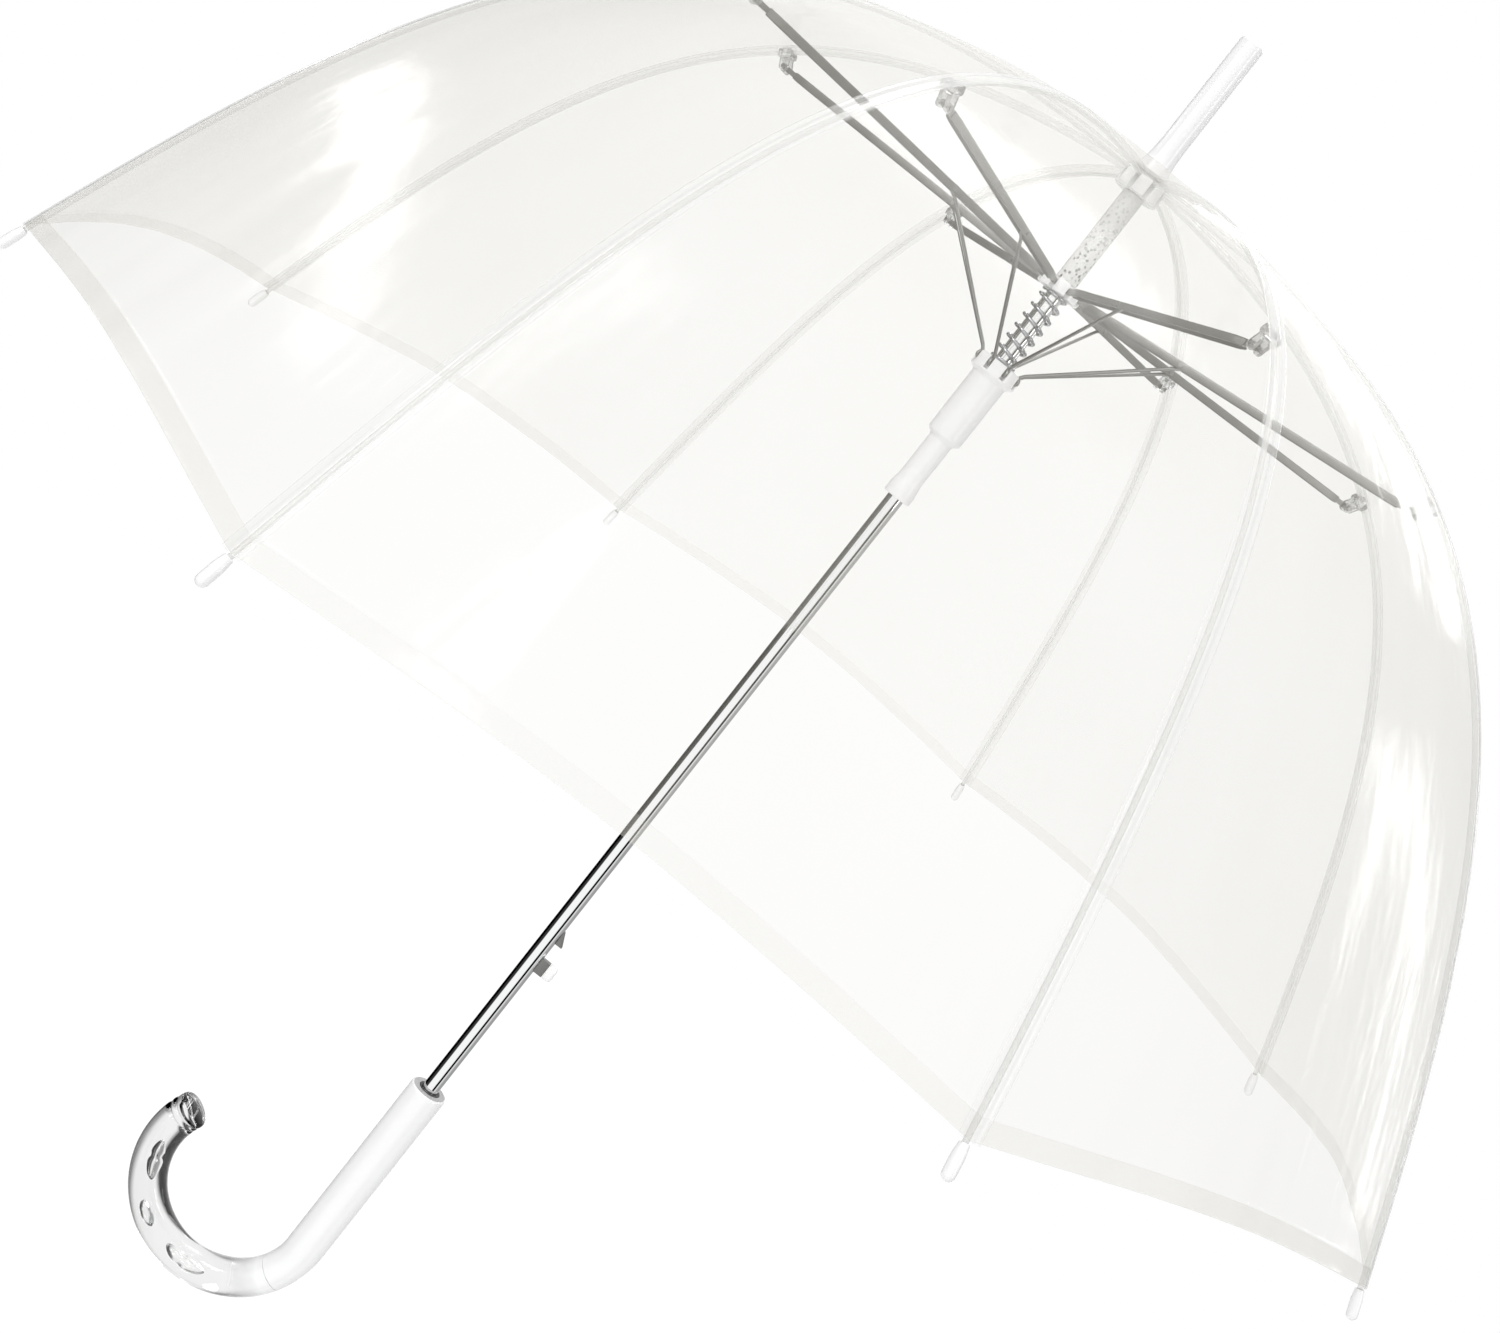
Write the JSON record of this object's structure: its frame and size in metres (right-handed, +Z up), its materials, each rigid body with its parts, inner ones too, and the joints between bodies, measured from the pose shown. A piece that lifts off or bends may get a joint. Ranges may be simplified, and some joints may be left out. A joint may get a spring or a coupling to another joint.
{
  "type": "dome umbrella",
  "caption": "Transparent dome umbrella with a crook handle, a release button on the shaft and a spring-opened folding rib frame.",
  "frame": {"origin": "on the shaft's axis, at the middle of the straight grip", "axes": "+Z up the shaft to the ferrule, +X towards the release button, the hook of the handle towards -X"},
  "size_m": [0.7972, 0.7972, 0.8825],
  "materials": {
    "clear_film": "clear soft vinyl film, glossy, faintly grey, with welded seams",
    "clear_rib": "translucent flexible rod with clear moulded clips",
    "white_plastic": "smooth white moulding, soft gloss",
    "frosted_sleeve": "cloudy clear tube with fine bubbles",
    "grey_steel": "dull grey pressed and drawn steel",
    "spring_wire": "bright drawn spring wire",
    "chrome_tube": "bright chrome plating",
    "clear_acrylic": "solid clear acrylic with long air bubbles"
  },
  "bodies": {
    "root": {"shaft": "chrome_tube", "ferrule": "white_plastic", "crown": "white_plastic", "spacer_sleeve": "frosted_sleeve", "handle_grip": "white_plastic", "handle_hook": "clear_acrylic"},
    "lower_runner": {"lower_runner": "white_plastic"},
    "upper_runner": {"upper_runner": "white_plastic", "main_spring": "spring_wire"},
    "latch_catch": {"latch_catch": "grey_steel"},
    "release_button": {"release_button": "white_plastic", "button_stem": "grey_steel"},
    "stretcher_1": {"stretcher_1": "grey_steel"},
    "strut_1": {"strut_1": "grey_steel"},
    "rib_inner_1": {"rib_inner_1": "clear_rib"},
    "rib_outer_1": {"rib_outer_1": "clear_rib", "rib_tip_1": "white_plastic", "canopy_panel_1": "clear_film"},
    "stretcher_2": {"stretcher_2": "grey_steel"},
    "strut_2": {"strut_2": "grey_steel"},
    "rib_inner_2": {"rib_inner_2": "clear_rib"},
    "rib_outer_2": {"rib_outer_2": "clear_rib", "rib_tip_2": "white_plastic", "canopy_panel_2": "clear_film"},
    "stretcher_3": {"stretcher_3": "grey_steel"},
    "strut_3": {"strut_3": "grey_steel"},
    "rib_inner_3": {"rib_inner_3": "clear_rib"},
    "rib_outer_3": {"rib_outer_3": "clear_rib", "rib_tip_3": "white_plastic", "canopy_panel_3": "clear_film"},
    "stretcher_4": {"stretcher_4": "grey_steel"},
    "strut_4": {"strut_4": "grey_steel"},
    "rib_inner_4": {"rib_inner_4": "clear_rib"},
    "rib_outer_4": {"rib_outer_4": "clear_rib", "rib_tip_4": "white_plastic", "canopy_panel_4": "clear_film"},
    "stretcher_5": {"stretcher_5": "grey_steel"},
    "strut_5": {"strut_5": "grey_steel"},
    "rib_inner_5": {"rib_inner_5": "clear_rib"},
    "rib_outer_5": {"rib_outer_5": "clear_rib", "rib_tip_5": "white_plastic", "canopy_panel_5": "clear_film"},
    "stretcher_6": {"stretcher_6": "grey_steel"},
    "strut_6": {"strut_6": "grey_steel"},
    "rib_inner_6": {"rib_inner_6": "clear_rib"},
    "rib_outer_6": {"rib_outer_6": "clear_rib", "rib_tip_6": "white_plastic", "canopy_panel_6": "clear_film"},
    "stretcher_7": {"stretcher_7": "grey_steel"},
    "strut_7": {"strut_7": "grey_steel"},
    "rib_inner_7": {"rib_inner_7": "clear_rib"},
    "rib_outer_7": {"rib_outer_7": "clear_rib", "rib_tip_7": "white_plastic", "canopy_panel_7": "clear_film"},
    "stretcher_8": {"stretcher_8": "grey_steel"},
    "strut_8": {"strut_8": "grey_steel"},
    "rib_inner_8": {"rib_inner_8": "clear_rib"},
    "rib_outer_8": {"rib_outer_8": "clear_rib", "rib_tip_8": "white_plastic", "canopy_panel_8": "clear_film"}
  },
  "joints": [
    {"name": "runner_slide", "type": "slide", "parent": "root", "child": "lower_runner", "axis": [0, 0, -1], "range_m": [0, 0.31345], "stiffness_N_per_m": 30, "springref_m": -0.22, "deforming": ["main_spring", "canopy_panel_1", "canopy_panel_2", "canopy_panel_3", "canopy_panel_4", "canopy_panel_5", "canopy_panel_6", "canopy_panel_7", "canopy_panel_8"]},
    {"name": "upper_runner_slide", "type": "slide", "parent": "root", "child": "upper_runner", "axis": [0, 0, -1], "range_m": [0, 0.34797]},
    {"name": "button_press", "type": "slide", "parent": "root", "child": "release_button", "axis": [-1, 0, 0], "range_m": [0, 0.004], "stiffness_N_per_m": 250, "springref_m": -0.002},
    {"name": "catch_press", "type": "slide", "parent": "root", "child": "latch_catch", "axis": [-1, 0, 0], "range_m": [0, 0.0043]},
    {"name": "stretcher_swing_1", "type": "hinge", "parent": "upper_runner", "child": "stretcher_1", "pos_m": [0.00924, 0.00383, 0.609], "axis": [0.3827, -0.9239, 0], "range_deg": [0, 84.76]},
    {"name": "strut_swing_1", "type": "hinge", "parent": "stretcher_1", "child": "strut_1", "pos_m": [0.07198, 0.02982, 0.61244], "axis": [-0.3827, 0.9239, 0], "range_deg": [0, 35.01]},
    {"name": "rib_fold_1", "type": "hinge", "parent": "stretcher_1", "child": "rib_inner_1", "pos_m": [0.19727, 0.08171, 0.61932], "axis": [-0.3827, 0.9239, 0], "range_deg": [0, 156.8]},
    {"name": "rib_flex_1", "type": "hinge", "parent": "rib_inner_1", "child": "rib_outer_1", "pos_m": [0.2051, 0.08495, 0.62442], "axis": [0.3827, -0.9239, 0], "range_deg": [0, 41.87]},
    {"name": "stretcher_swing_2", "type": "hinge", "parent": "upper_runner", "child": "stretcher_2", "pos_m": [0.00383, 0.00924, 0.609], "axis": [0.9239, -0.3827, 0], "range_deg": [0, 84.76]},
    {"name": "strut_swing_2", "type": "hinge", "parent": "stretcher_2", "child": "strut_2", "pos_m": [0.02982, 0.07198, 0.61244], "axis": [-0.9239, 0.3827, 0], "range_deg": [0, 35.01]},
    {"name": "rib_fold_2", "type": "hinge", "parent": "stretcher_2", "child": "rib_inner_2", "pos_m": [0.08171, 0.19727, 0.61932], "axis": [-0.9239, 0.3827, 0], "range_deg": [0, 156.8]},
    {"name": "rib_flex_2", "type": "hinge", "parent": "rib_inner_2", "child": "rib_outer_2", "pos_m": [0.08495, 0.2051, 0.62442], "axis": [0.9239, -0.3827, 0], "range_deg": [0, 41.87]},
    {"name": "stretcher_swing_3", "type": "hinge", "parent": "upper_runner", "child": "stretcher_3", "pos_m": [-0.00383, 0.00924, 0.609], "axis": [0.9239, 0.3827, 0], "range_deg": [0, 84.76]},
    {"name": "strut_swing_3", "type": "hinge", "parent": "stretcher_3", "child": "strut_3", "pos_m": [-0.02982, 0.07198, 0.61244], "axis": [-0.9239, -0.3827, 0], "range_deg": [0, 35.01]},
    {"name": "rib_fold_3", "type": "hinge", "parent": "stretcher_3", "child": "rib_inner_3", "pos_m": [-0.08171, 0.19727, 0.61932], "axis": [-0.9239, -0.3827, 0], "range_deg": [0, 156.8]},
    {"name": "rib_flex_3", "type": "hinge", "parent": "rib_inner_3", "child": "rib_outer_3", "pos_m": [-0.08495, 0.2051, 0.62442], "axis": [0.9239, 0.3827, 0], "range_deg": [0, 41.87]},
    {"name": "stretcher_swing_4", "type": "hinge", "parent": "upper_runner", "child": "stretcher_4", "pos_m": [-0.00924, 0.00383, 0.609], "axis": [0.3827, 0.9239, 0], "range_deg": [0, 84.76]},
    {"name": "strut_swing_4", "type": "hinge", "parent": "stretcher_4", "child": "strut_4", "pos_m": [-0.07198, 0.02982, 0.61244], "axis": [-0.3827, -0.9239, 0], "range_deg": [0, 35.01]},
    {"name": "rib_fold_4", "type": "hinge", "parent": "stretcher_4", "child": "rib_inner_4", "pos_m": [-0.19727, 0.08171, 0.61932], "axis": [-0.3827, -0.9239, 0], "range_deg": [0, 156.8]},
    {"name": "rib_flex_4", "type": "hinge", "parent": "rib_inner_4", "child": "rib_outer_4", "pos_m": [-0.2051, 0.08495, 0.62442], "axis": [0.3827, 0.9239, 0], "range_deg": [0, 41.87]},
    {"name": "stretcher_swing_5", "type": "hinge", "parent": "upper_runner", "child": "stretcher_5", "pos_m": [-0.00924, -0.00383, 0.609], "axis": [-0.3827, 0.9239, 0], "range_deg": [0, 84.76]},
    {"name": "strut_swing_5", "type": "hinge", "parent": "stretcher_5", "child": "strut_5", "pos_m": [-0.07198, -0.02982, 0.61244], "axis": [0.3827, -0.9239, 0], "range_deg": [0, 35.01]},
    {"name": "rib_fold_5", "type": "hinge", "parent": "stretcher_5", "child": "rib_inner_5", "pos_m": [-0.19727, -0.08171, 0.61932], "axis": [0.3827, -0.9239, 0], "range_deg": [0, 156.8]},
    {"name": "rib_flex_5", "type": "hinge", "parent": "rib_inner_5", "child": "rib_outer_5", "pos_m": [-0.2051, -0.08495, 0.62442], "axis": [-0.3827, 0.9239, 0], "range_deg": [0, 41.87]},
    {"name": "stretcher_swing_6", "type": "hinge", "parent": "upper_runner", "child": "stretcher_6", "pos_m": [-0.00383, -0.00924, 0.609], "axis": [-0.9239, 0.3827, 0], "range_deg": [0, 84.76]},
    {"name": "strut_swing_6", "type": "hinge", "parent": "stretcher_6", "child": "strut_6", "pos_m": [-0.02982, -0.07198, 0.61244], "axis": [0.9239, -0.3827, 0], "range_deg": [0, 35.01]},
    {"name": "rib_fold_6", "type": "hinge", "parent": "stretcher_6", "child": "rib_inner_6", "pos_m": [-0.08171, -0.19727, 0.61932], "axis": [0.9239, -0.3827, 0], "range_deg": [0, 156.8]},
    {"name": "rib_flex_6", "type": "hinge", "parent": "rib_inner_6", "child": "rib_outer_6", "pos_m": [-0.08495, -0.2051, 0.62442], "axis": [-0.9239, 0.3827, 0], "range_deg": [0, 41.87]},
    {"name": "stretcher_swing_7", "type": "hinge", "parent": "upper_runner", "child": "stretcher_7", "pos_m": [0.00383, -0.00924, 0.609], "axis": [-0.9239, -0.3827, 0], "range_deg": [0, 84.76]},
    {"name": "strut_swing_7", "type": "hinge", "parent": "stretcher_7", "child": "strut_7", "pos_m": [0.02982, -0.07198, 0.61244], "axis": [0.9239, 0.3827, 0], "range_deg": [0, 35.01]},
    {"name": "rib_fold_7", "type": "hinge", "parent": "stretcher_7", "child": "rib_inner_7", "pos_m": [0.08171, -0.19727, 0.61932], "axis": [0.9239, 0.3827, 0], "range_deg": [0, 156.8]},
    {"name": "rib_flex_7", "type": "hinge", "parent": "rib_inner_7", "child": "rib_outer_7", "pos_m": [0.08495, -0.2051, 0.62442], "axis": [-0.9239, -0.3827, 0], "range_deg": [0, 41.87]},
    {"name": "stretcher_swing_8", "type": "hinge", "parent": "upper_runner", "child": "stretcher_8", "pos_m": [0.00924, -0.00383, 0.609], "axis": [-0.3827, -0.9239, 0], "range_deg": [0, 84.76]},
    {"name": "strut_swing_8", "type": "hinge", "parent": "stretcher_8", "child": "strut_8", "pos_m": [0.07198, -0.02982, 0.61244], "axis": [0.3827, 0.9239, 0], "range_deg": [0, 35.01]},
    {"name": "rib_fold_8", "type": "hinge", "parent": "stretcher_8", "child": "rib_inner_8", "pos_m": [0.19727, -0.08171, 0.61932], "axis": [0.3827, 0.9239, 0], "range_deg": [0, 156.8]},
    {"name": "rib_flex_8", "type": "hinge", "parent": "rib_inner_8", "child": "rib_outer_8", "pos_m": [0.2051, -0.08495, 0.62442], "axis": [-0.3827, -0.9239, 0], "range_deg": [0, 41.87]}
  ],
  "couplings": [
    {"joint": "upper_runner_slide", "follows": "runner_slide", "ratio": 1.1085},
    {"joint": "catch_press", "follows": "button_press", "ratio": 1.05},
    {"joint": "stretcher_swing_1", "follows": "runner_slide", "rad_per_m": 4.7165},
    {"joint": "strut_swing_1", "follows": "runner_slide", "rad_per_m": 1.9467},
    {"joint": "rib_fold_1", "follows": "runner_slide", "rad_per_m": 8.7282},
    {"joint": "rib_flex_1", "follows": "runner_slide", "rad_per_m": 2.3283},
    {"joint": "stretcher_swing_2", "follows": "runner_slide", "rad_per_m": 4.7165},
    {"joint": "strut_swing_2", "follows": "runner_slide", "rad_per_m": 1.9467},
    {"joint": "rib_fold_2", "follows": "runner_slide", "rad_per_m": 8.7282},
    {"joint": "rib_flex_2", "follows": "runner_slide", "rad_per_m": 2.3283},
    {"joint": "stretcher_swing_3", "follows": "runner_slide", "rad_per_m": 4.7165},
    {"joint": "strut_swing_3", "follows": "runner_slide", "rad_per_m": 1.9467},
    {"joint": "rib_fold_3", "follows": "runner_slide", "rad_per_m": 8.7282},
    {"joint": "rib_flex_3", "follows": "runner_slide", "rad_per_m": 2.3283},
    {"joint": "stretcher_swing_4", "follows": "runner_slide", "rad_per_m": 4.7165},
    {"joint": "strut_swing_4", "follows": "runner_slide", "rad_per_m": 1.9467},
    {"joint": "rib_fold_4", "follows": "runner_slide", "rad_per_m": 8.7282},
    {"joint": "rib_flex_4", "follows": "runner_slide", "rad_per_m": 2.3283},
    {"joint": "stretcher_swing_5", "follows": "runner_slide", "rad_per_m": 4.7165},
    {"joint": "strut_swing_5", "follows": "runner_slide", "rad_per_m": 1.9467},
    {"joint": "rib_fold_5", "follows": "runner_slide", "rad_per_m": 8.7282},
    {"joint": "rib_flex_5", "follows": "runner_slide", "rad_per_m": 2.3283},
    {"joint": "stretcher_swing_6", "follows": "runner_slide", "rad_per_m": 4.7165},
    {"joint": "strut_swing_6", "follows": "runner_slide", "rad_per_m": 1.9467},
    {"joint": "rib_fold_6", "follows": "runner_slide", "rad_per_m": 8.7282},
    {"joint": "rib_flex_6", "follows": "runner_slide", "rad_per_m": 2.3283},
    {"joint": "stretcher_swing_7", "follows": "runner_slide", "rad_per_m": 4.7165},
    {"joint": "strut_swing_7", "follows": "runner_slide", "rad_per_m": 1.9467},
    {"joint": "rib_fold_7", "follows": "runner_slide", "rad_per_m": 8.7282},
    {"joint": "rib_flex_7", "follows": "runner_slide", "rad_per_m": 2.3283},
    {"joint": "stretcher_swing_8", "follows": "runner_slide", "rad_per_m": 4.7165},
    {"joint": "strut_swing_8", "follows": "runner_slide", "rad_per_m": 1.9467},
    {"joint": "rib_fold_8", "follows": "runner_slide", "rad_per_m": 8.7282},
    {"joint": "rib_flex_8", "follows": "runner_slide", "rad_per_m": 2.3283}
  ]
}
